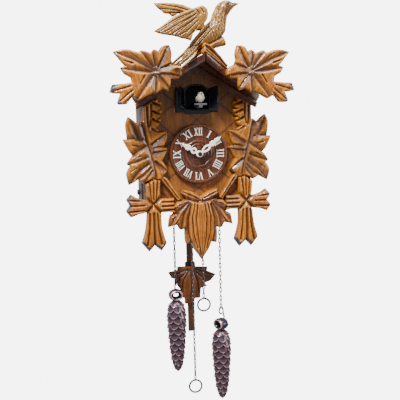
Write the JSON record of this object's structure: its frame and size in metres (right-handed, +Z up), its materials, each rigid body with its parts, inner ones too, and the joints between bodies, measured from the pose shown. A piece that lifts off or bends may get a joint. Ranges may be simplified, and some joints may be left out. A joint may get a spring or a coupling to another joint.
{
  "type": "cuckoo clock",
  "caption": "Small carved wall cuckoo clock with leaves, roof bird, round numeral dial, bird that slides out between shutters, pendulum and hanging pinecones.",
  "frame": {"origin": "on the flat back face that rests on the wall, on the centre line, 46 mm above the dial's centre", "axes": "+Z up, the dial faces -Y, +X to the right as seen from the front, so +Y points into the wall"},
  "size_m": [0.1564, 0.0883, 0.3617],
  "materials": {
    "case_wood": "lacquered walnut-stained board",
    "back_board": "thin unstained plywood",
    "roof_wood": "dark stained lacquered board",
    "carved_wood": "hand-carved linden, stained and lacquered",
    "bird_wood": "hand-carved linden, light stain, satin lacquer",
    "dial_wood": "turned, dark reddish stain",
    "stick_wood": "stained stick",
    "ivory_plastic": "moulded ivory-white",
    "stage_plastic": "moulded black",
    "movement_plastic": "moulded black, fine texture",
    "perch_plastic": "moulded light grey",
    "battery_jacket": "printed jacket without text",
    "steel": "bright zinc plate",
    "chain_metal": "antique silver",
    "blackened_wire": "blackened wire",
    "cone_finish": "dark bronze-brown lacquer"
  },
  "bodies": {
    "case": {"front_panel": "case_wood", "side_panel_left": "case_wood", "side_panel_right": "case_wood", "floor_panel": "case_wood", "back_panel": "back_board", "hanger_plate": "steel", "roof_board_left": "roof_wood", "roof_board_right": "roof_wood", "gable_moulding": "roof_wood", "roof_leaf_left": "carved_wood", "roof_leaf_right": "carved_wood", "side_vine_left": "carved_wood", "side_vine_right": "carved_wood", "foot_cross_left": "carved_wood", "foot_cross_right": "carved_wood", "bottom_leaf": "carved_wood", "roof_bird_body": "bird_wood", "roof_bird_wing_near": "bird_wood", "roof_bird_wing_far": "bird_wood", "roof_bird_perch": "carved_wood", "dial": "dial_wood", "movement_case": "movement_plastic", "battery": "battery_jacket", "speaker": "movement_plastic", "volume_control": "movement_plastic", "chain_bracket": "movement_plastic", "cuckoo_stage": "stage_plastic", "pendulum_hanger": "steel", "chain_weight_left": "chain_metal", "chain_ring_left": "chain_metal", "chain_weight_right": "chain_metal", "chain_ring_right": "chain_metal"},
    "minute_works": {"minute_arbor": "steel", "minute_hand": "ivory_plastic", "hand_nut": "steel", "set_knob": "movement_plastic"},
    "hour_works": {"hour_tube": "steel", "hour_hand": "ivory_plastic"},
    "cuckoo": {"bird_slide": "perch_plastic", "cuckoo_bird": "ivory_plastic"},
    "left_shutter": {"shutter_left": "stage_plastic"},
    "right_shutter": {"shutter_right": "stage_plastic"},
    "pendulum": {"pendulum_rod": "stick_wood"},
    "pendulum_bob": {"pendulum_leaf": "carved_wood", "pendulum_clip": "stage_plastic"},
    "battery_door": {"battery_cover": "movement_plastic"},
    "volume_wheel": {"volume_knob": "stage_plastic"},
    "left_weight": {"weight_hook_left": "blackened_wire", "pinecone_left": "cone_finish"},
    "right_weight": {"weight_hook_right": "blackened_wire", "pinecone_right": "cone_finish"},
    "left_ring": {"pull_ring_left": "blackened_wire"},
    "right_ring": {"pull_ring_right": "blackened_wire"}
  },
  "joints": [
    {"name": "minute_turn", "type": "hinge", "parent": "case", "child": "minute_works", "pos_m": [0, -0.03, -0.046], "axis": [0, 1, 0], "continuous": true},
    {"name": "hour_turn", "type": "hinge", "parent": "case", "child": "hour_works", "pos_m": [0, -0.03, -0.046], "axis": [0, 1, 0], "continuous": true},
    {"name": "bird_travel", "type": "slide", "parent": "case", "child": "cuckoo", "axis": [0, 1, 0], "range_m": [0, 0.024]},
    {"name": "left_shutter_hinge", "type": "hinge", "parent": "case", "child": "left_shutter", "pos_m": [-0.0114, -0.0455, 0.0018], "axis": [0, 0, 1], "range_deg": [0, 120]},
    {"name": "right_shutter_hinge", "type": "hinge", "parent": "case", "child": "right_shutter", "pos_m": [0.0114, -0.0455, 0.0018], "axis": [0, 0, 1], "range_deg": [-120, 0]},
    {"name": "pendulum_swing", "type": "hinge", "parent": "case", "child": "pendulum", "pos_m": [-0.0044, -0.0162, -0.062], "axis": [0, 1, 0], "range_deg": [-5, 5]},
    {"name": "leaf_height", "type": "slide", "parent": "pendulum", "child": "pendulum_bob", "axis": [0, 0, 1], "range_m": [-0.012, 0.012]},
    {"name": "battery_cover_slide", "type": "slide", "parent": "case", "child": "battery_door", "axis": [0, 0, -1], "range_m": [0, 0.014]},
    {"name": "volume_turn", "type": "hinge", "parent": "case", "child": "volume_wheel", "pos_m": [-0.0493, -0.011, -0.081], "axis": [-1, 0, 0], "range_deg": [-135, 135]},
    {"name": "left_weight_swing", "type": "hinge", "parent": "case", "child": "left_weight", "pos_m": [-0.0214, -0.031, -0.1599], "axis": [0, 1, 0], "range_deg": [-5, 20]},
    {"name": "right_weight_swing", "type": "hinge", "parent": "case", "child": "right_weight", "pos_m": [0.0214, -0.031, -0.1911], "axis": [0, 1, 0], "range_deg": [-20, 9]},
    {"name": "left_ring_swing", "type": "hinge", "parent": "case", "child": "left_ring", "pos_m": [-0.005, -0.031, -0.25935], "axis": [0, 1, 0], "range_deg": [-24, 24]},
    {"name": "right_ring_swing", "type": "hinge", "parent": "case", "child": "right_ring", "pos_m": [0.005, -0.031, -0.18155], "axis": [0, 1, 0], "range_deg": [-24, 15]}
  ],
  "couplings": [
    {"joint": "hour_turn", "follows": "minute_turn", "ratio": 0.083333},
    {"joint": "left_shutter_hinge", "follows": "bird_travel", "rad_per_m": 87.266},
    {"joint": "right_shutter_hinge", "follows": "bird_travel", "rad_per_m": -87.266}
  ]
}
